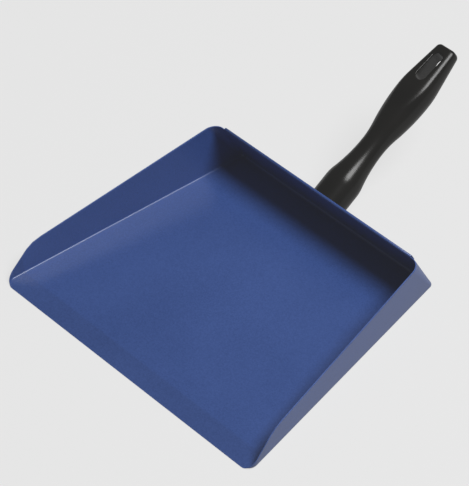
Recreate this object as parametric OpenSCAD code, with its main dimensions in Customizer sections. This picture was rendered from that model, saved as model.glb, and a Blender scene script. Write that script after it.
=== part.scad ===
// Sheet-steel dustpan with a moulded grip.
// The pan is one pressed sheet: a floor, two side walls that lean a little outwards and
// a back wall that leans forward over the floor, with a hem along its top edge.
// A steel tang welded to the back wall carries the grip, and one screw holds the grip on.
// Millimetres. +X runs across the pan, +Y from the lip to the grip, +Z up.
// The origin is at the middle of the whole object's footprint, on the surface it stands on.

/* [Pan] */
// Width across the front lip
lip_w = 280; // [230:5:340]
// Depth of the floor from the lip to the rear fold
floor_d = 242; // [200:2:300]
// Width of the floor at the rear fold
rear_w = 216; // [180:2:260]
// Height of the back wall
rear_h = 50; // [42:1:70]
// Height of the side walls where the front slant ends
front_h = 27; // [18:1:36]
// How far back the front slant runs
slant_run = 29; // [20:1:45]
// Rounding between the front slant and the top edge
slant_r = 25; // [5:1:30]
// Outward lean of the side walls in degrees
side_lean = 4.2; // [1:0.2:10]
// Forward lean of the back wall in degrees
back_lean = 28; // [10:1:35]
// Thickness of the sheet
sheet = 0.8; // [0.6:0.1:1.5]
// Inside radius of the folds along the floor
fold_r = 1.6; // [1:0.1:3]
// Inside radius of the upright rear corners, at the floor
corner_low_r = 3; // [2:0.5:6]
// Inside radius of the upright rear corners, at the top edge
corner_top_r = 10; // [6:0.5:16]
// Rounding of the two lip corners
lip_corner_r = 8; // [3:0.5:14]

/* [Lip] */
// Depth of the strip that thins towards the lip
lip_ramp = 19; // [10:1:30]
// Thickness left at the lip's edge
lip_edge = 0.4; // [0.3:0.1:0.6]

/* [Hem] */
// How far the hem is folded down behind the back wall
hem_depth = 8; // [5:0.5:12]
// Gap left inside the hem
hem_gap = 0.8; // [0.4:0.1:1.5]

/* [Grip] */
// Length of the grip from the back wall
grip_len = 164; // [144:2:180]
// Height of the grip's middle, measured up the back wall
grip_up = 28; // [22:1:36]
// Diameter at the wall
base_d = 31.5; // [28:0.5:40]
// Length of the straight part at the wall
base_len = 20; // [18:1:30]
// Diameter of the neck
neck_d = 21.3; // [19:0.1:26]
// Distance of the neck from the wall
neck_at = 62; // [55:1:80]
// Diameter of the swell that fills the palm
swell_d = 32; // [28:0.5:40]
// Distance of the swell from the wall
swell_at = 116; // [95:1:120]
// Radius of the curve past the swell
tail_r = 90; // [40:5:140]
// Taper of the end, on each side, in degrees
tail_taper = 8.4; // [4:0.2:9]
// How far the two flats at the end cut below its round surface
flat_cut = 3; // [1:0.5:5]
// Rounding of the end's edge
end_r = 3; // [1:0.5:5]

/* [Hang slot] */
// Length of the slot
slot_len = 29; // [20:1:34]
// Width of the slot
slot_w = 9.5; // [6:0.5:11]
// Distance of the slot's far end from the grip's end
slot_in = 8; // [6:0.5:14]

/* [Tang] */
// Diameter of the tang
tang_d = 10; // [8:0.5:12]
// Length of the tang from the back wall
tang_len = 70; // [50:1:90]
// Diameter of the flange welded to the back wall
flange_d = 24; // [20:0.5:26]
// Thickness of the flange
flange_t = 2; // [1.5:0.5:3]
// Clearance all round between the tang and the grip
tang_gap = 0.1; // [0.05:0.05:0.3]
// Empty length of the grip's bore past the tang's end
tang_end_gap = 2; // [0.5:0.5:5]
// Chamfer at the tang's end
tang_chamfer = 1; // [0.5:0.1:2]

/* [Screw] */
// Diameter of the screw's shank
screw_d = 4; // [3:0.5:5]
// Length under the head
screw_len = 15; // [12:1:16]
// Distance of the screw from the back wall
screw_at = 12; // [9:0.5:14]
// Diameter of the head
head_d = 8; // [6:0.5:9]
// Height of the head
head_h = 2.6; // [2:0.1:3.5]
// How far the head sits below the grip's surface
head_sink = 0.5; // [0.2:0.1:1]
// Width of the head's rounded edge
head_edge = 1.2; // [0.6:0.2:1.6]
// Length of the cross recess
recess_len = 4.4; // [3:0.2:5]
// Width of the cross recess
recess_w = 1; // [0.6:0.1:1.4]
// Depth of the cross recess
recess_depth = 1.6; // [1:0.1:1.8]
// Length of the screw's pointed end
point_len = 2; // [1:0.5:4]
// Clearance all round between the shank and its holes
screw_gap = 0.05; // [0.02:0.01:0.2]
// Clearance all round between the head and its counterbore
head_gap = 0.2; // [0.1:0.05:0.5]

/* [Hidden] */
$fn = 96;

// How much larger a rounding is drawn than its exact tangent fit, so that it meets its faces cleanly
skin = 1.003;
// Size of the blocks that stand for half spaces
reach = 4 * lip_w;
// Size of the blocks that roundings are cut from, and the share of an edge that they run on past each end
scrap_reach = 40;
scrap_over = 0.25;
// How far a cut starts outside the face that it opens
cut = 1;

// Faces of the pan, as outward unit normals
side_turn = atan((lip_w - rear_w) / 2 / floor_d);
side_out = [cos(side_lean) * cos(side_turn), cos(side_lean) * sin(side_turn), -sin(side_lean)];
back_out = [0, cos(back_lean), sin(back_lean)];
floor_out = [0, 0, -1];
lip_out = [0, -1, 0];

// Corners and edges of the right-hand side
lip_corner = [lip_w / 2, 0, 0];
rear_corner = [rear_w / 2, floor_d, 0];
corner_line = unit(cross(side_out, back_out));
rear_top = rear_corner + corner_line * rear_h / corner_line.z;
slant_angle = atan2(front_h, slant_run);
top_angle = atan2(rear_h - front_h, rear_top.y - slant_run);

// Hem
wall_len = rear_h / cos(back_lean);
hem_r = sheet + hem_gap / 2;
corner_half = acos(-side_out * back_out) / 2;
hem_half = rear_top.x - (corner_top_r + sheet) / tan(corner_half) - hem_r;

// Grip
base_r = base_d / 2;
neck_r = neck_d / 2;
swell_r = swell_d / 2;
shoulder_share = 0.22;
neck_share = 0.29;
curve_step = 4;
end_steps = 6;
tail_at = swell_at + tail_r * sin(tail_taper);
end_centre = [tail_radius(grip_len - end_r) - end_r / cos(tail_taper), grip_len - end_r];
flat_end = tail_radius(grip_len) - flat_cut;
slot_mid = grip_len - slot_in - slot_len / 2;
tang_hole_len = tang_len + tang_end_gap;
head_seat = base_r - head_sink - head_h;

overall_len = floor_d - grip_up * sin(back_lean) + grip_len * cos(back_lean)
            + min(flat_end, end_centre.x) * sin(back_lean);

function unit(v) = v / norm(v);

// Radius of the tapered end at distance z from the wall
function tail_radius(z) =
  swell_r - tail_r * (1 - cos(tail_taper)) - (z - swell_at - tail_r * sin(tail_taper)) * tan(tail_taper);

// Radius on the two tangent arcs that run from (z0, r0) to (z1, r1), both parallel to the axis there.
// share is the part of the way that the first arc takes.
function s_curve(z, z0, z1, r0, r1, share) =
  let (
    rise = r1 - r0,
    total = (rise * rise + (z1 - z0) * (z1 - z0)) / (2 * abs(rise)),
    first = total * share,
    second = total - first
  )
  z < z0 + (z1 - z0) * share
    ? r0 + sign(rise) * (first - sqrt(first * first - pow(z - z0, 2)))
    : r1 - sign(rise) * (second - sqrt(second * second - pow(z1 - z, 2)));

function grip_radius(z) =
  z <= base_len ? base_r
  : z <= neck_at ? s_curve(z, base_len, neck_at, base_r, neck_r, shoulder_share)
  : z <= swell_at ? s_curve(z, neck_at, swell_at, neck_r, swell_r, neck_share)
  : z < tail_at ? swell_r - tail_r + sqrt(tail_r * tail_r - pow(z - swell_at, 2))
  : tail_radius(z);

// What rounding takes off a convex edge between two faces. The radius may change along the edge,
// and is smaller by inset on the inner side of the sheet, where the faces lie inset further in.
// The round tool is turned so that its own seam points away from the edge.
module edge_scrap(from, to, out_a, out_b, r_from, r_to, inset = 0) {
  inwards = -(out_a + out_b) / (1 + out_a * out_b);
  start = from + r_from * inwards;
  run = to + r_to * inwards - start;
  len = norm(run) * (1 + 2 * scrap_over);
  slope = (r_to - r_from) / norm(run);
  grow = skin / sqrt(1 - slope * slope);
  r_low = (r_from - scrap_over * (r_to - r_from) - inset) * grow;
  r_high = (r_to + scrap_over * (r_to - r_from) - inset) * grow;
  polar = acos(run.z / norm(run));
  turn = atan2(run.y, run.x);
  across = [cos(polar) * cos(turn), cos(polar) * sin(turn), -sin(polar)];
  along = [-sin(turn), cos(turn), 0];
  edge_a = scrap_reach * [out_a * across, out_a * along];
  edge_b = scrap_reach * [out_b * across, out_b * along];
  away = -edge_a - edge_b;
  translate(start - scrap_over * run)
    rotate([0, polar, turn])
      difference() {
        linear_extrude(len) polygon([[0, 0], edge_a, edge_a + edge_b, edge_b]);
        rotate(atan2(away.y, away.x)) cylinder(h = len, r1 = r_low, r2 = r_high);
      }
}

// Everything on the inner side of the right wall's outer face, moved in by inset
module inside_right_wall(inset) {
  translate(lip_corner) rotate([0, side_lean, side_turn])
    translate([-reach - inset, -reach / 2, -reach / 2]) cube(reach);
}

// Solid between the pan's faces, each moved in by inset
module pan_form(inset) {
  difference() {
    intersection() {
      translate([-reach / 2, -reach / 2, inset]) cube(reach);
      translate([0, floor_d, 0]) rotate([back_lean, 0, 0])
        translate([-reach / 2, -reach - inset, -reach / 2]) cube(reach);
      inside_right_wall(inset);
      mirror([1, 0, 0]) inside_right_wall(inset);
    }
    edge_scrap(rear_corner - [rear_w, 0, 0], rear_corner, floor_out, back_out,
               fold_r + sheet, fold_r + sheet, inset);
    for (flip = [0, 1])
      mirror([flip, 0, 0]) {
        edge_scrap(lip_corner, rear_corner, floor_out, side_out, fold_r + sheet, fold_r + sheet, inset);
        edge_scrap(rear_corner, rear_top, side_out, back_out,
                   corner_low_r + sheet, corner_top_r + sheet, inset);
      }
  }
}

// Everything under the top edges and behind the front slant
module side_outline() {
  slant_out = [0, -sin(slant_angle), cos(slant_angle)];
  top_out = [0, -sin(top_angle), cos(top_angle)];
  slant_top = [0, slant_run, front_h];
  difference() {
    rotate([90, 0, 90]) translate([0, 0, -reach / 2]) linear_extrude(reach)
      polygon([[0, 0], [slant_run, front_h], [rear_top.y, rear_h], [reach, rear_h], [reach, -reach],
               [0, -reach]]);
    edge_scrap(slant_top - [lip_w, 0, 0], slant_top + [lip_w, 0, 0], slant_out, top_out, slant_r, slant_r);
  }
}

// Wedge that thins the floor towards the lip, clear of the side folds
module lip_wedge() {
  side_in = lip_w / 2 - fold_r - 2 * sheet;
  narrowing = lip_ramp * tan(side_turn);
  intersection() {
    linear_extrude(rear_h)
      polygon([[-side_in, 0], [side_in, 0], [side_in - narrowing, lip_ramp],
               [narrowing - side_in, lip_ramp]]);
    translate([-lip_w, 0, lip_edge]) rotate([atan((sheet - lip_edge) / lip_ramp), 0, 0])
      cube([2 * lip_w, 2 * lip_ramp, rear_h]);
  }
}

// Frames: the back wall's outer face, with Z up the wall and Y out of it,
// and the grip's axis, with Z out of the wall and Y towards the grip's underside
module on_back_wall() {
  translate([0, floor_d, 0]) rotate([back_lean, 0, 0]) children();
}

module on_grip_axis() {
  on_back_wall() translate([0, 0, grip_up]) rotate([-90, 0, 0]) children();
}

// Stands the object on its footprint's middle
module placed() {
  translate([0, -overall_len / 2, 0]) children();
}

// Room above the back wall where the hem takes the sheet's place
module hem_room() {
  translate([-hem_half, -2 * hem_r, wall_len - hem_r]) cube([2 * hem_half, 4 * hem_r, 4 * hem_r]);
}

module hem() {
  intersection() {
    translate([-hem_half, hem_gap / 2, wall_len - hem_r]) rotate([0, 90, 0])
      difference() {
        cylinder(h = 2 * hem_half, r = hem_r);
        cylinder(h = 2 * hem_half, r = hem_gap / 2);
      }
    hem_room();
  }
  translate([-hem_half, hem_gap, wall_len - hem_depth])
    cube([2 * hem_half, sheet, hem_depth - hem_r]);
}

module pan() {
  color("royalblue") placed() {
    difference() {
      intersection() {
        difference() {
          pan_form(0);
          pan_form(sheet);
        }
        side_outline();
      }
      lip_wedge();
      for (flip = [0, 1])
        mirror([flip, 0, 0])
          edge_scrap(lip_corner, lip_corner + rear_h * unit(cross(lip_out, side_out)), lip_out, side_out,
                     lip_corner_r, lip_corner_r);
      on_back_wall() hem_room();
    }
    on_back_wall() hem();
  }
}

module tang() {
  color("silver") placed() on_grip_axis() difference() {
    rotate_extrude()
      polygon([[0, 0], [flange_d / 2, 0], [flange_d / 2, flange_t], [tang_d / 2, flange_t],
               [tang_d / 2, tang_len - tang_chamfer], [tang_d / 2 - tang_chamfer, tang_len], [0, tang_len]]);
    translate([0, -tang_d, screw_at]) rotate([-90, 0, 0])
      cylinder(h = 2 * tang_d, r = screw_d / 2 + screw_gap);
  }
}

// Round body of the grip, before the flats and holes are cut
module grip_body() {
  curved = [for (z = [base_len:curve_step:tail_at]) [grip_radius(z), z]];
  rounding = [
    for (i = [0:end_steps])
      let (a = tail_taper + (90 - tail_taper) * i / end_steps) end_centre + end_r * [cos(a), sin(a)]
  ];
  rotate_extrude()
    polygon(concat([[0, 0], [base_r, 0]], curved, [[tail_radius(tail_at), tail_at]], rounding,
                   [[0, grip_len]]));
}

module hang_slot() {
  straight = slot_len - slot_w;
  translate([0, swell_d, slot_mid]) rotate([90, 0, 0]) {
    translate([-slot_w / 2, -straight / 2, 0]) cube([slot_w, straight, 2 * swell_d]);
    for (end = [-1, 1])
      translate([0, end * straight / 2, 0]) cylinder(h = 2 * swell_d, d = slot_w);
  }
}

module grip() {
  color("dimgray") placed() on_grip_axis() difference() {
    grip_body();
    for (flip = [0, 1])
      mirror([0, flip, 0])
        translate([-swell_d, flat_end, grip_len]) rotate([tail_taper, 0, 0])
          translate([0, 0, -grip_len]) cube([2 * swell_d, swell_d, 2 * grip_len]);
    hang_slot();
    translate([0, 0, -cut]) cylinder(h = cut + flange_t + tang_gap, r = flange_d / 2 + tang_gap);
    cylinder(h = tang_hole_len, r = tang_d / 2 + tang_gap);
    translate([0, 0, screw_at]) rotate([-90, 0, 0]) {
      cylinder(h = base_r, r = screw_d / 2 + screw_gap);
      translate([0, 0, head_seat]) cylinder(h = base_r, r = head_d / 2 + head_gap);
    }
  }
}

// Pan-head screw, driven up into the tang from the grip's underside
module grip_screw() {
  color("gray") placed() on_grip_axis() translate([0, head_seat, screw_at]) rotate([-90, 0, 0])
    difference() {
      rotate_extrude()
        polygon([[0, -screw_len], [screw_d / 2, point_len - screw_len], [screw_d / 2, 0], [head_d / 2, 0],
                 [head_d / 2, head_h - head_edge], [head_d / 2 - head_edge / 2, head_h - head_edge / 4],
                 [head_d / 2 - head_edge, head_h], [0, head_h]]);
      for (a = [0, 90])
        rotate([0, 0, a]) translate([-recess_len / 2, -recess_w / 2, head_h - recess_depth])
          cube([recess_len, recess_w, head_h]);
    }
}

pan();
tang();
grip();
grip_screw();
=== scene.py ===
import math

import bmesh
import bpy
import numpy as np
from mathutils import Matrix, Vector


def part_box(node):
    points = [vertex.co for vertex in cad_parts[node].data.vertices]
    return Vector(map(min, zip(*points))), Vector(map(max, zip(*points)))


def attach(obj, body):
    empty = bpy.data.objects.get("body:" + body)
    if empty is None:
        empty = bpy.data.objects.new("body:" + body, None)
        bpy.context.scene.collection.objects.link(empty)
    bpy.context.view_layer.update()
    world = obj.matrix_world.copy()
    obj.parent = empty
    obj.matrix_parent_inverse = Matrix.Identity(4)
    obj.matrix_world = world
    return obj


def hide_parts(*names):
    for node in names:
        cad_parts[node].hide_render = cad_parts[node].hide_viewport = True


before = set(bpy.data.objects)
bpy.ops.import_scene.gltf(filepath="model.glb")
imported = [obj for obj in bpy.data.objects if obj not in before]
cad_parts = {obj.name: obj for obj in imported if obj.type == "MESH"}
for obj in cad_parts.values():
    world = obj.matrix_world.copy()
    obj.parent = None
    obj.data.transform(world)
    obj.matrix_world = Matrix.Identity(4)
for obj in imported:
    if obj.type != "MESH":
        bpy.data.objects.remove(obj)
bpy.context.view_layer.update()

mm = 0.001
scene = bpy.context.scene
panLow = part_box("pan")[0]
print("frame loaded:", ", ".join(sorted(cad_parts)))


def unit(v):
    v = np.asarray(v, float)
    return v / np.linalg.norm(v)


def toFrame(points):
    # the pan is worked out in mm with y = 0 at the lip; the frame is in metres
    points = np.asarray(points, float) * mm
    points[:, 1] += panLow.y
    return points


def meshFrom(name, verts, faces, merge=2e-6):
    mesh = bpy.data.meshes.new(name)
    mesh.from_pydata([tuple(v) for v in verts], [], [tuple(f) for f in faces])
    bm = bmesh.new()
    bm.from_mesh(mesh)
    bmesh.ops.remove_doubles(bm, verts=bm.verts, dist=merge)
    bmesh.ops.dissolve_degenerate(bm, edges=bm.edges, dist=merge)
    bmesh.ops.recalc_face_normals(bm, faces=bm.faces)
    bm.to_mesh(mesh)
    bm.free()
    mesh.shade_smooth()
    obj = bpy.data.objects.new(name, mesh)
    scene.collection.objects.link(obj)
    return obj


def newMaterial(name):
    mat = bpy.data.materials.new(name)
    mat.use_nodes = True
    nodes = mat.node_tree.nodes
    return mat, nodes, mat.node_tree.links, nodes["Principled BSDF"]


def noiseOf(nodes, links, coords, scale, detail=2.0):
    noise = nodes.new("ShaderNodeTexNoise")
    noise.inputs["Scale"].default_value = scale
    noise.inputs["Detail"].default_value = detail
    links.new(coords, noise.inputs["Vector"])
    return noise.outputs["Fac"]


def toneOf(nodes, links, value, low, lowColour, high, highColour):
    # lowColour up to the place low, highColour from the place high, and a blend between
    ramp = nodes.new("ShaderNodeValToRGB")
    steps = ramp.color_ramp.elements
    steps[0].position, steps[1].position = low, high
    steps[0].color, steps[1].color = lowColour, highColour
    links.new(value, ramp.inputs["Fac"])
    return ramp.outputs["Color"]


def bumpOf(nodes, links, shader, height, strength, distance):
    bump = nodes.new("ShaderNodeBump")
    bump.inputs["Strength"].default_value = strength
    bump.inputs["Distance"].default_value = distance
    links.new(height, bump.inputs["Height"])
    links.new(bump.outputs[0], shader.inputs["Normal"])


def mathNode(tree, operation, a, b=None, c=None, clamp=False):
    node = tree.nodes.new("ShaderNodeMath")
    node.operation = operation
    node.use_clamp = clamp
    for socket, value in zip(node.inputs, (a, b, c)):
        if value is None:
            continue
        if isinstance(value, (int, float)):
            socket.default_value = value
        else:
            tree.links.new(value, socket)
    return node.outputs[0]


# the pan is one pressed sheet; sizes in mm

panSizes = {
    "lipWidth": 280.0,
    "floorDepth": 242.0,
    "rearWidth": 216.0,
    "rearHeight": 50.0,
    "frontHeight": 27.0,
    "slantRun": 29.0,
    "slantRadius": 25.0,
    "sideLean": 4.2,        # degrees, outwards
    "backLean": 28.0,       # degrees, forwards over the floor
    "sheet": 0.8,
    "foldRadius": 1.6,      # inside
    "cornerLow": 3.0,       # inside, at the floor
    "cornerTop": 10.0,      # inside, at the top edge
    "lipCorner": 8.0,
    "lipRamp": 19.0,
    "lipEdge": 0.4,
    "edgeRound": 0.3,       # how far the cut edges are rounded
    "rampClimb": 4.0,       # height up the wall where it has its full thickness
    "foldSwell": 0.1,       # rise of the floor beside the side folds
    "swellWidth": 15.0,
    "swellFront": 30.0,     # how far it takes to rise behind the lip
    "swellRear": 40.0,      # and to sink again before the back wall
    "swellStop": 6.0,
    "hemDepth": 8.0,
    "hemGap": 0.8,
}
ps = panSizes
lean = math.radians(ps["sideLean"])
backLean = math.radians(ps["backLean"])
sideTurn = math.atan((ps["lipWidth"] - ps["rearWidth"]) / 2 / ps["floorDepth"])
outerFold = ps["foldRadius"] + ps["sheet"]
hemRadius = ps["sheet"] + ps["hemGap"] / 2
wallLength = ps["rearHeight"] / math.cos(backLean)
hemLap = 0.15       # how far the hem's strip and the wall overlap

sideFlat = np.array([math.cos(sideTurn), math.sin(sideTurn), 0])
sideOut = sideFlat * math.cos(lean) - np.array([0, 0, math.sin(lean)])
backOut = np.array([0, math.cos(backLean), math.sin(backLean)])
downOut = np.array([0, 0, -1.0])
rearCorner = np.array([ps["rearWidth"] / 2, ps["floorDepth"], 0])
cornerLine = unit(np.cross(sideOut, backOut))
rearTop = rearCorner + cornerLine * ps["rearHeight"] / cornerLine[2]


def inwards(a, b):
    # from an edge between two faces to the middle of its rounding, for a radius of 1
    return -(a + b) / (1 + a @ b)


def turned(a, b, share):
    # unit normal that turns from a to b
    angle = math.acos(max(-1.0, min(1.0, float(a @ b))))
    return (math.sin((1 - share) * angle) * a + math.sin(share * angle) * b) / math.sin(angle)


def topEdge(y):
    # height of the side wall's top edge: slant, rounding, then a straight line to the rear
    run, low, radius = ps["slantRun"], ps["frontHeight"], ps["slantRadius"]
    slant = math.atan2(low, run)
    rise = math.atan2(ps["rearHeight"] - low, rearTop[1] - run)
    half = (slant - rise) / 2
    tangent = radius * math.tan(half)
    start = run - tangent * math.cos(slant)
    stop = run + tangent * math.cos(rise)
    if y <= start:
        return y * math.tan(slant)
    if y >= stop:
        return min(low + (y - run) * math.tan(rise), ps["rearHeight"])
    centreY = start + radius * math.sin(slant)
    centreZ = start * math.tan(slant) - radius * math.cos(slant)
    return centreZ + math.sqrt(max(radius ** 2 - (y - centreY) ** 2, 0))


foldSteps, capSteps, cornerSteps, lipCornerSteps, sideSteps = 8, 4, 10, 8, 22
wallParts = (0.03, 0.25, 0.5, 0.75, 0.9, 0.97, 1.0)     # the wall's rows, as shares of its climb


def section(base, up, normal, top, rounded):
    # the sheet's outside from the floor, round the fold and up to its cut edge: the points,
    # their outward normals, the way ahead at the edge and how far the edge bulges that way
    centre = base + outerFold * inwards(downOut, normal)
    full = math.acos(float(downOut @ normal))
    bead = ps["edgeRound"] if rounded else 0.0
    top = max(top - bead, 0.0)
    foldTop = outerFold * (1 - math.cos(full))
    share = 1.0 if top >= foldTop else math.acos(1 - top / outerFold) / full
    points, normals = [], []
    for i in range(foldSteps + 1):
        n = turned(downOut, normal, share * i / foldSteps)
        points.append(centre + outerFold * n)
        normals.append(n)
    # round the lip's corner the fold is cut short, and its foot moves out to keep the outline
    flat = unit([normal[0], normal[1], 0])
    short = float((base - points[-1]) @ flat) - bead * math.cos(share * full)
    if share < 1 and short > 0:
        points = [p + flat * short for p in points]
    end = points[-1]
    climb = max((top - end[2]) / up[2], 0.0)
    for part in wallParts:
        points.append(end + up * climb * part)
        normals.append(normals[foldSteps])
    ahead = up
    if share < 1:
        ahead = unit(turned(downOut, normal, min(share + 0.02, 1)) - turned(downOut, normal, share))
    return np.array(points), np.array(normals), ahead, bead


def floorSwell(x, y, edgeX):
    # the floor lifts a little towards the side folds, where the press pulled it
    near = max(1 - (edgeX - abs(x)) / ps["swellWidth"], 0.0)
    toRear = ps["floorDepth"] - ps["swellStop"] - y
    fade = min(y / ps["swellFront"], 1.0) * min(toRear / ps["swellRear"], 1.0)
    return ps["foldSwell"] * near ** 2 * max(fade, 0.0)


def thickness(y):
    return ps["lipEdge"] + (ps["sheet"] - ps["lipEdge"]) * min(y / ps["lipRamp"], 1.0)


def heightOn(foot, up):
    # where a line up the wall meets the top edge
    height = topEdge(foot[1])
    for _ in range(6):
        height = topEdge(foot[1] + up[1] / up[2] * height)
    return height


def rightColumns():
    # upright lines of the right side, from the lip's corner round to the back wall
    out = []
    r = ps["lipCorner"]
    corner = np.array([ps["lipWidth"] / 2 - r * (1 + math.sin(sideTurn)) / math.cos(sideTurn), r, 0])
    for i in range(lipCornerSteps + 1):
        a = math.radians(-90) + (sideTurn + math.radians(90)) * i / lipCornerSteps
        flat = np.array([math.cos(a), math.sin(a), 0])
        n = flat * math.cos(lean) - np.array([0, 0, math.sin(lean)])
        up = flat * math.sin(lean) + np.array([0, 0, math.cos(lean)])
        base = corner + r * flat
        out.append(("side", base, up, n, topEdge(base[1])))
    # the rear corner's rounding is narrow at the foot and wide at the top
    low, high = ps["cornerLow"] + ps["sheet"], ps["cornerTop"] + ps["sheet"]

    def cornerRuling(share):
        n = turned(sideOut, backOut, share)
        step = inwards(sideOut, backOut) + n
        foot = rearCorner + low * step
        head = rearTop + high * step
        up = unit(head - foot)
        return foot - up * foot[2] / up[2], up, n

    firstFoot, firstUp = out[-1][1:3]
    lastFoot, lastUp, _ = cornerRuling(0)
    # close together where the thinned strip ends and beside both corners
    stops = [0.002, 0.018, 0.0385, 0.0445, 0.05, 0.07]
    stops += [0.1 + 0.9 * i / sideSteps for i in range(sideSteps)] + [0.985, 0.996]
    for s in stops:
        foot = firstFoot + (lastFoot - firstFoot) * s
        up = unit(firstUp + (lastUp / lastUp[2] * firstUp[2] - firstUp) * s)
        out.append(("side", foot, up, sideOut, heightOn(foot, up)))
    for i in range(cornerSteps + 1):
        foot, up, n = cornerRuling(i / cornerSteps)
        out.append(("side", foot, up, n, heightOn(foot, up)))
    return out


def panColumns():
    # the right half's lines: along the lip, round the side, then along the back wall
    sides = rightColumns()
    footEnd, upEnd = sides[-1][1], sides[-1][2]
    hemFoot = ps["rearHeight"] - hemRadius * math.cos(backLean) + hemLap
    topX = footEnd[0] + upEnd[0] / upEnd[2] * ps["rearHeight"]
    hemShare = hemHalf() / topX
    shares = [0, 0.12, 0.25, 0.4, 0.55, 0.68, 0.8, 0.87, 0.92, 0.95, 0.972]
    shares += [hemShare - 0.0002, hemShare + 0.0002, 0.996]     # a step down where the hem starts
    columns = []
    for f in shares:                # lip, from the middle outwards
        base = np.array([sides[0][1][0] * f, 0, 0])
        columns.append(("lip", base, np.array([0, 0, 1.0]), np.array([0, -1.0, 0]), 0.0))
    columns += sides
    for f in reversed(shares):      # back wall, from the corner to the middle
        up = unit([upEnd[0] * f, upEnd[1], upEnd[2]])
        top = ps["rearHeight"] if f > hemShare else hemFoot
        columns.append(("back", np.array([footEnd[0] * f, footEnd[1], 0]), up, backOut, top))
    return shares, columns, len(sides)


def panRing(kind, base, up, normal, top):
    # the sheet cut along one line: its outside, rounded edge and inside, and where the edge is
    underHem = kind == "back" and top < ps["rearHeight"]
    points, normals, ahead, bead = section(base, up, normal, top, not underHem)
    if kind == "lip":
        points[:] = base + np.array([0, ps["edgeRound"], 0])
        normals[:] = downOut
        ahead = np.array([0, -1.0, 0])
    thin = np.array([thickness(max(p[1], 0)) for p in points])
    climbed = np.clip(points[:, 2] / ps["rampClimb"], 0, 1)
    thick = thin + (ps["sheet"] - thin) * climbed ** 2 * (3 - 2 * climbed)
    inner = points - normals * thick[:, None]
    if kind == "side":
        fade = np.linspace(1, 0, foldSteps + 1)
        for i in range(foldSteps + 1):
            inner[i][2] += floorSwell(points[0][0], points[0][1], points[0][0]) * fade[i]
    middle = (points[-1] + inner[-1]) / 2
    half = thick[-1] / 2
    cap = []
    for i in range(1, capSteps):
        a = math.pi * i / capSteps - math.pi / 2
        cap.append(middle - normals[-1] * half * math.sin(a) + ahead * bead * math.cos(a))
    ring = np.vstack([points, np.array(cap), inner[::-1]])
    mark = np.zeros(len(ring))
    if not underHem:
        mark[len(points) - 1:len(points) + capSteps] = 1.0
    return ring, mark


def buildPanSheet():
    shares, columns, sideCount = panColumns()
    rings, wear = zip(*[panRing(*column) for column in columns])
    verts, faces, edge = [], [], []

    def put(points, marks):
        start = len(verts)
        verts.extend(points)
        edge.extend(marks)
        return start

    mirror = np.array([-1, 1, 1.0])
    starts = [put(r, w) for r, w in zip(rings, wear)]
    others = [put(r * mirror, w) for r, w in zip(rings, wear)]
    count = len(rings[0])
    for group in (starts, others):
        for a, b in zip(group[:-1], group[1:]):
            for i in range(count - 1):
                faces.append((a + i, a + i + 1, b + i + 1, b + i))

    # the flat floor, under and upper side, as rows from left to right
    first = len(shares)
    halves = shares + [1.0]
    for side, last in ((0, 0), (1, count - 1)):
        rows = []
        for ring in rings[first:first + sideCount]:
            tip = ring[last]
            row = []
            for f in halves:
                x, y, z = tip[0] * f, tip[1], 0.0
                if side:
                    z = thickness(y) + floorSwell(x, y, tip[0])
                row.append((x, y, tip[2] if f == 1.0 else z))
            rows.append(row)
        rows.insert(0, [tuple(ring[last]) for ring in rings[:first + 1]])
        for flip in (1, -1):
            base = [put([np.array([x * flip, y, z]) for x, y, z in row], [0.0] * len(row))
                    for row in rows]
            for a, b in zip(base[:-1], base[1:]):
                for i in range(len(halves) - 1):
                    faces.append((a + i, a + i + 1, b + i + 1, b + i))
    return verts, faces, edge


def hemHalf():
    half = math.acos(-float(sideOut @ backOut)) / 2
    return rearTop[0] - (ps["cornerTop"] + ps["sheet"]) / math.tan(half) - hemRadius


verts, faces, edge = buildPanSheet()
verts = toFrame(verts)
pan = meshFrom("pan_sheet", verts, faces)
# the cut edges carry a mark of their own for the coat's wear and a painted highlight along them
marks = {}
for v, e in zip(verts, edge):
    spot = tuple(np.round(v, 6))
    marks[spot] = max(e, marks.get(spot, 0))
wearAndHighlightLayer = pan.data.attributes.new("edgeWearAndHighlight", "FLOAT", "POINT")
for v, mark in zip(pan.data.vertices, wearAndHighlightLayer.data):
    mark.value = marks.get(tuple(np.round(v.co, 6)), 0.0)
print("pan sheet:", len(pan.data.vertices), "points,", len(pan.data.polygons), "faces")


# the hem is the sheet's rolled top edge, swept round its roll by Geometry Nodes

hemSizes = {
    "Half length": hemHalf() * mm,
    "Sheet": ps["sheet"] * mm,
    "Gap": ps["hemGap"] * mm,
    "Depth": ps["hemDepth"] * mm,
    "Corner": hemLap * mm,
    "Lean": backLean,
    "Seat": Vector((0, ps["floorDepth"] * mm + panLow.y, 0)),
    "Wall": (wallLength - hemRadius) * mm,
    "Steps": 16,
}


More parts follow.
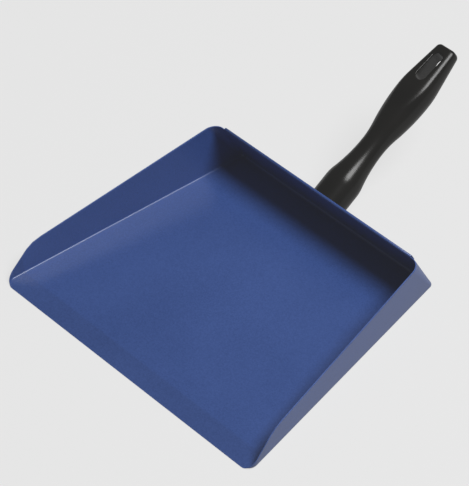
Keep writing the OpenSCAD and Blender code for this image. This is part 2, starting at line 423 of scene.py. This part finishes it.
def hemTree():
    tree = bpy.data.node_groups.new("hem", "GeometryNodeTree")
    face = tree.interface
    face.new_socket("Sheet body", in_out="INPUT", socket_type="NodeSocketGeometry")
    kinds = {"Seat": "NodeSocketVector", "Steps": "NodeSocketInt"}
    for key in hemSizes:
        face.new_socket(key, in_out="INPUT", socket_type=kinds.get(key, "NodeSocketFloat"))
    face.new_socket("Coat", in_out="INPUT", socket_type="NodeSocketMaterial")
    face.new_socket("Geometry", in_out="OUTPUT", socket_type="NodeSocketGeometry")
    nodes, links = tree.nodes, tree.links
    given = nodes.new("NodeGroupInput").outputs
    final = nodes.new("NodeGroupOutput")

    line = nodes.new("GeometryNodeCurvePrimitiveLine")
    dense = nodes.new("GeometryNodeResampleCurve")
    links.new(line.outputs[0], dense.inputs["Curve"])
    links.new(given["Steps"], dense.inputs["Count"])
    index = nodes.new("GeometryNodeInputIndex").outputs[0]

    # points 1 to Steps - 2 go round the roll; the first and last are the two legs' ends
    span = mathNode(tree, "SUBTRACT", given["Steps"], 3)
    share = mathNode(tree, "DIVIDE", mathNode(tree, "SUBTRACT", index, 1), span, clamp=True)
    angle = mathNode(tree, "MULTIPLY", share, math.pi)
    gapHalf = mathNode(tree, "MULTIPLY", given["Gap"], 0.5)
    sheetHalf = mathNode(tree, "MULTIPLY", given["Sheet"], 0.5)
    middle = mathNode(tree, "ADD", gapHalf, sheetHalf)
    outer = mathNode(tree, "ADD", gapHalf, given["Sheet"])
    across = mathNode(tree, "MULTIPLY", middle, mathNode(tree, "COSINE", angle))
    y = mathNode(tree, "SUBTRACT", gapHalf, across)
    arcZ = mathNode(tree, "MULTIPLY", middle, mathNode(tree, "SINE", angle))
    isFirst = mathNode(tree, "COMPARE", index, 0, 0.1)
    lastIndex = mathNode(tree, "SUBTRACT", given["Steps"], 1)
    isLast = mathNode(tree, "COMPARE", index, lastIndex, 0.1)
    leg = mathNode(tree, "MULTIPLY", isLast, mathNode(tree, "SUBTRACT", given["Depth"], outer))
    lap = mathNode(tree, "MULTIPLY", isFirst, given["Corner"])
    z = mathNode(tree, "SUBTRACT", mathNode(tree, "SUBTRACT", arcZ, leg), lap)
    place = nodes.new("ShaderNodeCombineXYZ")
    links.new(y, place.inputs["Y"])
    links.new(mathNode(tree, "ADD", z, given["Wall"]), place.inputs["Z"])
    bent = nodes.new("GeometryNodeSetPosition")
    links.new(dense.outputs["Curve"], bent.inputs["Geometry"])
    links.new(place.outputs[0], bent.inputs["Position"])

    strip = nodes.new("GeometryNodeCurvePrimitiveQuadrilateral")
    links.new(mathNode(tree, "MULTIPLY", given["Half length"], 2), strip.inputs["Width"])
    links.new(given["Sheet"], strip.inputs["Height"])
    soft = nodes.new("GeometryNodeFilletCurve")
    links.new(strip.outputs[0], soft.inputs["Curve"])
    links.new(given["Corner"], soft.inputs["Radius"])
    roll = nodes.new("GeometryNodeCurveToMesh")
    links.new(bent.outputs[0], roll.inputs["Curve"])
    links.new(soft.outputs[0], roll.inputs["Profile Curve"])
    roll.inputs["Fill Caps"].default_value = True

    tilt = nodes.new("ShaderNodeCombineXYZ")
    links.new(given["Lean"], tilt.inputs["X"])
    stand = nodes.new("GeometryNodeTransform")
    links.new(roll.outputs[0], stand.inputs["Geometry"])
    links.new(given["Seat"], stand.inputs["Translation"])
    links.new(tilt.outputs[0], stand.inputs["Rotation"])
    both = nodes.new("GeometryNodeJoinGeometry")
    links.new(stand.outputs[0], both.inputs[0])
    links.new(given["Sheet body"], both.inputs[0])
    real = nodes.new("GeometryNodeRealizeInstances")
    links.new(both.outputs[0], real.inputs[0])
    painted = nodes.new("GeometryNodeSetMaterial")
    links.new(real.outputs[0], painted.inputs["Geometry"])
    links.new(given["Coat"], painted.inputs["Material"])
    links.new(painted.outputs[0], final.inputs[0])
    return tree


def throughNodes(obj, tree, values, name):
    # runs a node tree on obj and gives its result back as a plain mesh object
    modifier = obj.modifiers.new("build", "NODES")
    modifier.node_group = tree
    for item in tree.interface.items_tree:
        if item.in_out == "INPUT" and item.name in values:
            modifier[item.identifier] = values[item.name]
    graph = bpy.context.evaluated_depsgraph_get()
    mesh = bpy.data.meshes.new_from_object(obj.evaluated_get(graph))
    obj.modifiers.remove(modifier)
    old = obj.data
    bpy.data.objects.remove(obj)
    bpy.data.meshes.remove(old)
    mesh.name = name
    made = bpy.data.objects.new(name, mesh)
    scene.collection.objects.link(made)
    return made


# satin blue powder coat of the pan

coatLook = {
    "deep": (0.014, 0.047, 0.190, 1),
    "light": (0.037, 0.087, 0.300, 1),
    # lighter blue of the cut edges: rubbed coat, and a painted highlight of the edges catching the
    # light
    "wornAndHighlit": (0.060, 0.115, 0.36, 1),
    "roughness": 0.40,
    "cloudRough": 0.10,     # how much each pattern changes the roughness
    "grainRough": 0.08,
    "gloss": 0.44,
    "glossRoughness": 0.24,
    "edgeDull": 0.25,       # how much rougher the cut edges are
    "cloudScale": 9.0,      # patterns in lumps per metre
    "grainScale": 800.0,
    "grainShare": 0.55,     # the grain's part in the colour, the rest is the cloud's
    "toneFrom": 0.25,
    "toneTo": 0.72,
    "peelScale": 420.0,
    "peelHeight": 0.00006,
    "peelStrength": 0.35,
    "peelGrain": 0.3,
    "rubScale": 130.0,
    "rubContrast": 1.6,
    "rubStart": -0.35,
    "lipPaintedShade": 0.88,       # painted shade of the thinned strip, darker beside the rest of the floor
    "lipBlend": 3.0,        # width of the strip's soft border, in mm
}


def coatMaterial(look):
    mat, nodes, links, shader = newMaterial("satin_blue_coat")
    tree = mat.node_tree
    coords = nodes.new("ShaderNodeTexCoord").outputs["Object"]
    cloud = noiseOf(nodes, links, coords, look["cloudScale"], 4.0)
    grain = noiseOf(nodes, links, coords, look["grainScale"], 2.0)
    peel = noiseOf(nodes, links, coords, look["peelScale"], 3.0)
    rub = noiseOf(nodes, links, coords, look["rubScale"], 5.0)
    clouded = mathNode(tree, "MULTIPLY", cloud, 1 - look["grainShare"])
    mixed = mathNode(tree, "MULTIPLY_ADD", grain, look["grainShare"], clouded)
    tone = toneOf(nodes, links, mixed, look["toneFrom"], look["deep"], look["toneTo"], look["light"])

    # painted shade: the thinned strip along the lip is darkened for its forward tilt, which takes less
    # light, with a soft inner border
    split = nodes.new("ShaderNodeSeparateXYZ")
    links.new(coords, split.inputs[0])
    strip = nodes.new("ShaderNodeMapRange")
    strip.interpolation_type = "SMOOTHSTEP"
    links.new(mathNode(tree, "SUBTRACT", split.outputs["Y"], panLow.y), strip.inputs["Value"])
    strip.inputs["From Min"].default_value = (ps["lipRamp"] - look["lipBlend"] / 2) * mm
    strip.inputs["From Max"].default_value = (ps["lipRamp"] + look["lipBlend"] / 2) * mm
    strip.inputs["To Min"].default_value = look["lipPaintedShade"]
    strip.inputs["To Max"].default_value = 1.0
    shade = nodes.new("ShaderNodeVectorMath")
    shade.operation = "SCALE"
    links.new(tone, shade.inputs[0])
    links.new(strip.outputs["Result"], shade.inputs["Scale"])

    # cut edges: the coat is thin, rubbed and duller there, and a lighter blue is painted on as the
    # highlight of the edges catching the light
    edgeMark = nodes.new("ShaderNodeAttribute")
    edgeMark.attribute_name = "edgeWearAndHighlight"
    cutEdge = edgeMark.outputs["Fac"]
    patches = mathNode(tree, "MULTIPLY_ADD", rub, look["rubContrast"], look["rubStart"], clamp=True)
    mix = nodes.new("ShaderNodeMix")
    mix.data_type = "RGBA"
    links.new(mathNode(tree, "MULTIPLY", cutEdge, patches), mix.inputs["Factor"])
    links.new(shade.outputs[0], mix.inputs["A"])
    mix.inputs["B"].default_value = look["wornAndHighlit"]
    links.new(mix.outputs["Result"], shader.inputs["Base Color"])

    smooth = look["roughness"] - look["cloudRough"] / 2
    rough = mathNode(tree, "MULTIPLY_ADD", cloud, look["cloudRough"], smooth)
    rough = mathNode(tree, "MULTIPLY_ADD", grain, look["grainRough"], rough)
    rough = mathNode(tree, "MULTIPLY_ADD", cutEdge, look["edgeDull"], rough)
    links.new(rough, shader.inputs["Roughness"])
    gloss = mathNode(tree, "MULTIPLY_ADD", cutEdge, -look["gloss"], look["gloss"])
    links.new(gloss, shader.inputs["Coat Weight"])
    shader.inputs["Coat Roughness"].default_value = look["glossRoughness"]
    skin = mathNode(tree, "MULTIPLY_ADD", grain, look["peelGrain"], peel)
    bumpOf(nodes, links, shader, skin, look["peelStrength"], look["peelHeight"])
    return mat


coat = coatMaterial(coatLook)
hemValues = dict(hemSizes)
hemValues["Coat"] = coat
pan = throughNodes(pan, hemTree(), hemValues, "pan_sheet")
pan.data.shade_smooth()
print("pan with its hem:", len(pan.data.polygons), "faces")


# the grip is a moulded body, given as a distance field and meshed; sizes in mm

gripSizes = {
    "length": 164.0,
    "up": 28.0,             # middle's height, measured up the back wall
    "baseWidth": 31.5,
    "baseLength": 20.0,
    "neckWidth": 21.3,
    "neckAt": 62.0,
    "swellWidth": 32.0,
    "swellAt": 116.0,
    "tailRadius": 90.0,
    "tailTaper": 8.4,
    "shoulderShare": 0.22,
    "neckShare": 0.29,
    "flatCut": 3.0,
    "endRound": 3.0,
    "flatRound": 3.2,       # rounding between the flats and the round body
    "slotLength": 29.0,
    "slotWidth": 9.5,
    "slotIn": 8.0,
    "rimRound": 1.1,
    "baseRound": 0.4,
    "flangeWidth": 24.2,
    "flangeDepth": 2.1,
    "boreWidth": 10.2,
    "boreLength": 72.0,
    "screwAt": 12.0,
    "screwHole": 4.1,
    "headHole": 8.4,
    "headSeat": 12.65,
    "seatRound": 0.5,
    "cell": 0.7,            # the mesh's cells, and how far they reach past the body
    "margin": 1.5,
    "marginBelow": 1.4,
}
gs = gripSizes
tailTaper = math.radians(gs["tailTaper"])
tailAt = gs["swellAt"] + gs["tailRadius"] * math.sin(tailTaper)


def tailRadiusAt(z):
    drop = gs["tailRadius"] * (1 - math.cos(tailTaper))
    return gs["swellWidth"] / 2 - drop - (z - tailAt) * math.tan(tailTaper)


def sCurve(z, z0, z1, r0, r1, share):
    # two arcs that meet smoothly and leave both ends parallel to the axis
    rise = r1 - r0
    way = math.copysign(1, rise)
    total = (rise ** 2 + (z1 - z0) ** 2) / (2 * abs(rise))
    first, second = total * share, total * (1 - share)
    early = r0 + way * (first - np.sqrt(np.maximum(first ** 2 - (z - z0) ** 2, 0)))
    late = r1 - way * (second - np.sqrt(np.maximum(second ** 2 - (z1 - z) ** 2, 0)))
    return np.where(z < z0 + (z1 - z0) * share, early, late)


def gripRadius(z):
    base, neck, swell = gs["baseWidth"] / 2, gs["neckWidth"] / 2, gs["swellWidth"] / 2
    tail = gs["tailRadius"]
    arc = swell - tail + np.sqrt(np.maximum(tail ** 2 - (z - gs["swellAt"]) ** 2, 0))
    return np.select(
        [z <= gs["baseLength"], z <= gs["neckAt"], z <= gs["swellAt"], z < tailAt],
        [np.full_like(z, base),
         sCurve(z, gs["baseLength"], gs["neckAt"], base, neck, gs["shoulderShare"]),
         sCurve(z, gs["neckAt"], gs["swellAt"], neck, swell, gs["neckShare"]),
         arc],
        tailRadiusAt(z))


def roundedBoth(a, b, radius):
    # what lies inside both fields, with a rounding of that radius where they cross
    u, v = a + radius, b + radius
    return np.minimum(np.maximum(u, v), 0) + np.hypot(np.maximum(u, 0), np.maximum(v, 0)) - radius


def gripField(x, y, z):
    # z runs out of the wall along the grip, y points to its underside
    r = np.hypot(x, y)
    step = 0.1
    slope = (gripRadius(z + step) - gripRadius(z - step)) / (2 * step)
    body = (r - gripRadius(z)) / np.sqrt(1 + slope ** 2)
    body = roundedBoth(body, z - gs["length"], gs["endRound"])
    flatLine = tailRadiusAt(gs["length"]) - gs["flatCut"]
    flat = (np.abs(y) - flatLine) * math.cos(tailTaper) + (z - gs["length"]) * math.sin(tailTaper)
    body = roundedBoth(body, flat, gs["flatRound"])
    body = roundedBoth(body, -z, gs["baseRound"])
    straight = (gs["slotLength"] - gs["slotWidth"]) / 2
    middle = gs["length"] - gs["slotIn"] - gs["slotLength"] / 2
    slot = np.hypot(x, np.maximum(np.abs(z - middle) - straight, 0)) - gs["slotWidth"] / 2
    body = roundedBoth(body, -slot, gs["rimRound"])
    recess = np.maximum(r - gs["flangeWidth"] / 2, z - gs["flangeDepth"])
    bore = np.maximum(r - gs["boreWidth"] / 2, z - gs["boreLength"])
    toScrew = np.hypot(x, z - gs["screwAt"])
    hole = np.maximum(toScrew - gs["screwHole"] / 2, -y)
    seat = np.maximum(toScrew - gs["headHole"] / 2, gs["headSeat"] - y)
    body = roundedBoth(body, -seat, gs["seatRound"])
    for cut in (recess, bore, hole):
        body = np.maximum(body, -cut)
    return body


def surfaceFrom(field, low, high, cell):
    # surface nets: one point in each cell that the surface crosses, then moved onto the surface
    counts = [int(math.ceil((h - l) / cell)) + 1 for l, h in zip(low, high)]
    axes = [l + cell * np.arange(n) for l, n in zip(low, counts)]
    gx, gy, gz = np.meshgrid(*axes, indexing="ij")
    value = field(gx, gy, gz)
    inside = value < 0
    total = np.zeros([n - 1 for n in counts] + [3])
    hits = np.zeros([n - 1 for n in counts])
    grid = [slice(0, -1), slice(1, None)]
    for axis in range(3):
        others = [a for a in range(3) if a != axis]
        for i in (0, 1):
            for j in (0, 1):
                pick = [None, None, None]
                pick[others[0]], pick[others[1]] = grid[i], grid[j]
                pick[axis] = grid[0]
                a = value[tuple(pick)]
                pick[axis] = grid[1]
                b = value[tuple(pick)]
                cross = (a < 0) != (b < 0)
                t = np.where(cross, a / np.where(cross, a - b, 1), 0)
                offset = [0.0, 0.0, 0.0]
                offset[others[0]], offset[others[1]] = i, j
                for k in range(3):
                    total[..., k] += np.where(cross, t if k == axis else offset[k], 0)
                hits += cross
    used = hits > 0
    number = -np.ones(used.shape, int)
    number[used] = np.arange(used.sum())
    corner = np.stack(np.nonzero(used), 1)
    points = np.array(low) + cell * (corner + total[used] / hits[used][:, None])
    step = 0.02
    for _ in range(4):
        here = field(*points.T)
        rises = [field(*(points + step * d).T) - field(*(points - step * d).T) for d in np.eye(3)]
        slope = np.stack([rise / (2 * step) for rise in rises], 1)
        move = -slope * (here / np.maximum((slope ** 2).sum(1), 0.1))[:, None]
        points += np.clip(move, -0.4 * cell, 0.4 * cell)
    quads = []
    for axis in range(3):
        u, v = [a for a in range(3) if a != axis]
        if axis == 1:
            u, v = v, u
        lowSide = [slice(1, -1)] * 3
        lowSide[axis] = slice(0, -1)
        highSide = [slice(1, -1)] * 3
        highSide[axis] = slice(1, None)
        a, b = inside[tuple(lowSide)], inside[tuple(highSide)]
        for sign in (True, False):
            where = np.stack(np.nonzero((a != b) & (a == sign)), 1)
            where += np.array([0 if k == axis else 1 for k in range(3)])
            around = []
            for du, dv in ((-1, -1), (0, -1), (0, 0), (-1, 0)):
                at = where.copy()
                at[:, u] += du
                at[:, v] += dv
                around.append(number[tuple(at.T)])
            quad = np.stack(around, 1)
            quads.append(quad if sign else quad[:, ::-1])
    return points, np.vstack(quads)


def gripToFrame(points):
    # the grip's own axes to the frame: x across, y to its underside, z out of the wall
    c, s = math.cos(backLean), math.sin(backLean)
    start = np.array([0, ps["floorDepth"] - gs["up"] * s, gs["up"] * c])
    across, under, along = np.array([1, 0, 0]), np.array([0, s, -c]), np.array([0, c, s])
    return toFrame(start + points[:, :1] * across + points[:, 1:2] * under + points[:, 2:] * along)


reach = gs["swellWidth"] / 2 + gs["margin"]
low, high = (-reach, -reach, -gs["marginBelow"]), (reach, reach, gs["length"] + gs["margin"])
points, quads = surfaceFrom(gripField, low, high, gs["cell"])
grip = meshFrom("grip_body", gripToFrame(points), quads, merge=1e-7)
print("grip:", len(grip.data.polygons), "faces")

plasticLook = {
    "dark": (0.0045, 0.0042, 0.0036, 1),
    "light": (0.0085, 0.0080, 0.0068, 1),
    "roughness": 0.20,
    "ior": 1.3,
    "flowScale": 22.0,      # patterns in lumps per metre
    "flowRough": 0.10,
    "toneFrom": 0.35,
    "toneTo": 0.7,
    "rubScale": 65.0,
    "rubRough": 0.08,
    "skinScale": 1300.0,
    "skinHeight": 0.00001,
    "skinStrength": 0.3,
}


def plasticMaterial(look):
    mat, nodes, links, shader = newMaterial("black_moulded_plastic")
    tree = mat.node_tree
    coords = nodes.new("ShaderNodeTexCoord").outputs["Object"]
    flow = noiseOf(nodes, links, coords, look["flowScale"], 5.0)
    skin = noiseOf(nodes, links, coords, look["skinScale"], 2.0)
    rub = noiseOf(nodes, links, coords, look["rubScale"], 6.0)
    tone = toneOf(nodes, links, flow, look["toneFrom"], look["dark"], look["toneTo"], look["light"])
    links.new(tone, shader.inputs["Base Color"])
    smooth = look["roughness"] - look["flowRough"] / 2
    rough = mathNode(tree, "MULTIPLY_ADD", flow, look["flowRough"], smooth)
    rough = mathNode(tree, "MULTIPLY_ADD", rub, look["rubRough"], rough)
    links.new(rough, shader.inputs["Roughness"])
    shader.inputs["IOR"].default_value = look["ior"]
    bumpOf(nodes, links, shader, skin, look["skinStrength"], look["skinHeight"])
    return mat


grip.data.materials.append(plasticMaterial(plasticLook))


# zinc-plated steel of the tang and the screw

steelLook = {
    "dull": (0.36, 0.36, 0.35, 1),
    "bright": (0.62, 0.62, 0.60, 1),
    "roughness": 0.34,
    "mottleScale": 300.0,   # patterns in lumps per metre
    "mottleRough": 0.2,
    "toneFrom": 0.3,
    "toneTo": 0.7,
    "grainScale": 1600.0,
    "grainHeight": 0.00003,
    "grainStrength": 0.25,
}


def steelMaterial(look):
    mat, nodes, links, shader = newMaterial("zinc_plated_steel")
    tree = mat.node_tree
    coords = nodes.new("ShaderNodeTexCoord").outputs["Object"]
    mottle = noiseOf(nodes, links, coords, look["mottleScale"], 5.0)
    grain = noiseOf(nodes, links, coords, look["grainScale"])
    tone = toneOf(nodes, links, mottle, look["toneFrom"], look["dull"], look["toneTo"], look["bright"])
    links.new(tone, shader.inputs["Base Color"])
    shader.inputs["Metallic"].default_value = 1.0
    smooth = look["roughness"] - look["mottleRough"] / 2
    rough = mathNode(tree, "MULTIPLY_ADD", mottle, look["mottleRough"], smooth)
    links.new(rough, shader.inputs["Roughness"])
    bumpOf(nodes, links, shader, grain, look["grainStrength"], look["grainHeight"])
    return mat


steel = steelMaterial(steelLook)
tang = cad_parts["tang"]
tang.data.materials.clear()
tang.data.materials.append(steel)

# the screw has a domed head with a cross recess, and a thread on its shank

screwSizes = {
    "length": 15.0,
    "width": 3.94,
    "core": 2.9,
    "pitch": 1.3,
    "pointLength": 2.0,
    "headWidth": 7.98,
    "headHeight": 2.6,
    "headRound": 1.1,
    "baseRound": 0.15,
    "dome": 18.0,           # radius of the head's crown
    "recessLength": 4.4,
    "recessWidth": 1.0,
    "recessDepth": 1.6,
    "recessSlope": 0.35,
    "recessRound": 0.12,
    "rootShare": 0.35,      # of half a turn: the thread's root, then its flank
    "flankShare": 0.6,
    "runOut": 0.9,          # where the thread fades out below the head
    "cell": 0.13,
    "margin": 0.3,
}
ss = screwSizes


def screwField(x, y, z):
    along, height = z - gs["screwAt"], y - gs["headSeat"]
    r = np.hypot(x, along)
    crown = ss["headHeight"] - r ** 2 / (2 * ss["dome"])
    head = roundedBoth(r - ss["headWidth"] / 2, height - crown, ss["headRound"])
    head = roundedBoth(head, -height, ss["baseRound"])
    u, v = np.abs(x), np.abs(along)
    arms = np.minimum(np.maximum(u - ss["recessWidth"] / 2, v - ss["recessLength"] / 2),
                      np.maximum(v - ss["recessWidth"] / 2, u - ss["recessLength"] / 2))
    recessFloor = ss["headHeight"] - ss["recessDepth"] + ss["recessSlope"] * r
    head = roundedBoth(head, -np.maximum(arms, recessFloor - height), ss["recessRound"])
    turns = height / ss["pitch"] - np.arctan2(along, x) / (2 * math.pi)
    wave = np.abs(2 * (turns - np.floor(turns) - 0.5))
    crest = np.clip((wave - ss["rootShare"]) / ss["flankShare"], 0, 1)
    crest = crest * np.clip(-height / ss["runOut"], 0, 1)
    taper = np.clip((height + ss["length"]) / ss["pointLength"], 0, 1)
    thread = (ss["core"] + (ss["width"] - ss["core"]) * crest) / 2
    shank = np.maximum((r - thread * taper) / 1.5, height - 0.5)
    return np.minimum(shank, head)


reach = ss["headWidth"] / 2 + ss["margin"]
low = (-reach, gs["headSeat"] - ss["length"] - ss["margin"], gs["screwAt"] - reach)
high = (reach, gs["headSeat"] + ss["headHeight"] + ss["margin"], gs["screwAt"] + reach)
points, quads = surfaceFrom(screwField, low, high, ss["cell"])
screw = meshFrom("screw_body", gripToFrame(points), quads, merge=1e-8)
screw.data.materials.append(steel)
print("screw:", len(screw.data.polygons), "faces")


# floor and light

studio = {
    "floorSize": 12.0,
    "floorColour": (0.10, 0.10, 0.10, 1),
    "floorSeen": 0.692,     # its own light as the camera sees it
    "floorGlow": 0.39,      # and as the object gets it
    "floorDull": 0.9,
    "floorShine": 0.1,
    "floorDrop": 0.0002,    # gap under the object, so that their faces don't meet
    "keyFrom": (0.42, 0.17, 0.89),
    "keyDistance": 3.2,
    "keySize": 1.5,
    "keyPower": 103.0,
    "sky": 0.11,
    "skySeen": 0.777,
    "haze": 0.015,          # how far the picture's blacks are lifted
}


def addFloor(s):
    half = s["floorSize"] / 2
    mesh = bpy.data.meshes.new("floor")
    corners = [(-half, -half, 0), (half, -half, 0), (half, half, 0), (-half, half, 0)]
    mesh.from_pydata(corners, [], [(0, 1, 2, 3)])
    floor = bpy.data.objects.new("floor", mesh)
    floor.location.z = -s["floorDrop"]
    scene.collection.objects.link(floor)
    mat, nodes, links, shader = newMaterial("pale_floor")
    shader.inputs["Base Color"].default_value = s["floorColour"]
    shader.inputs["Roughness"].default_value = s["floorDull"]
    shader.inputs["Specular IOR Level"].default_value = s["floorShine"]
    shader.inputs["Emission Color"].default_value = (1, 1, 1, 1)
    # the floor lights the object a little less than it shows
    path = nodes.new("ShaderNodeLightPath")
    glow = mathNode(mat.node_tree, "MULTIPLY_ADD", path.outputs["Is Camera Ray"],
                    s["floorSeen"] - s["floorGlow"], s["floorGlow"])
    links.new(glow, shader.inputs["Emission Strength"])
    mesh.materials.append(mat)


def addKey(s):
    way = Vector(s["keyFrom"]).normalized()
    data = bpy.data.lights.new("key", "AREA")
    data.shape = "DISK"
    data.size = s["keySize"]
    data.energy = s["keyPower"]
    key = bpy.data.objects.new("key", data)
    key.location = way * s["keyDistance"]
    key.rotation_mode = "QUATERNION"
    key.rotation_quaternion = way.to_track_quat("Z", "Y")
    scene.collection.objects.link(key)


def addSky(s):
    world = bpy.data.worlds.new("studio")
    scene.world = world
    world.use_nodes = True
    nodes, links = world.node_tree.nodes, world.node_tree.links
    nodes.clear()
    path = nodes.new("ShaderNodeLightPath")
    light = nodes.new("ShaderNodeBackground")
    light.inputs["Strength"].default_value = s["sky"]
    seen = nodes.new("ShaderNodeBackground")
    seen.inputs["Strength"].default_value = s["skySeen"]
    for n in (light, seen):
        n.inputs["Color"].default_value = (1, 1, 1, 1)
    mix = nodes.new("ShaderNodeMixShader")
    links.new(path.outputs["Is Camera Ray"], mix.inputs["Fac"])
    links.new(light.outputs[0], mix.inputs[1])
    links.new(seen.outputs[0], mix.inputs[2])
    links.new(mix.outputs[0], nodes.new("ShaderNodeOutputWorld").inputs["Surface"])


addFloor(studio)
addKey(studio)
addSky(studio)
scene.view_settings.view_transform = "Standard"
scene.view_settings.use_curve_mapping = True
scene.view_settings.curve_mapping.black_level = [-studio["haze"]] * 3
scene.view_settings.curve_mapping.update()


# camera

cameraSettings = {
    "azimuth": 45.69,
    "elevation": 45.97,
    "roll": -0.72,
    "distance": 2.0129,
    "lens": 183.8,
    "sensor": 36.0,
    "aim": (-0.02877, -0.03652, 0.01527),
}


def addCamera(s):
    az, el, roll = (math.radians(s[k]) for k in ("azimuth", "elevation", "roll"))
    back = Vector((math.sin(az) * math.cos(el), -math.cos(az) * math.cos(el), math.sin(el)))
    right = (-back).cross(Vector((0, 0, 1))).normalized()
    up = right.cross(-back)
    xAxis = right * math.cos(roll) + up * math.sin(roll)
    yAxis = up * math.cos(roll) - right * math.sin(roll)
    place = Vector(s["aim"]) + back * s["distance"]
    data = bpy.data.cameras.new("camera")
    data.lens = s["lens"]
    data.sensor_width = s["sensor"]
    data.clip_start, data.clip_end = 0.1, 50
    cam = bpy.data.objects.new("camera", data)
    scene.collection.objects.link(cam)
    turn = Matrix((xAxis, yAxis, back)).transposed().to_4x4()
    cam.matrix_world = Matrix.Translation(place) @ turn
    scene.camera = cam


addCamera(cameraSettings)
print("floor, light and camera are in place")

for piece, node, slot in (
    (pan, "pan", "pan_coating"),
    (grip, "grip", "grip_plastic"),
    (screw, "grip_screw", "screw_steel"),
):
    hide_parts(node)
    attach(piece, "root")
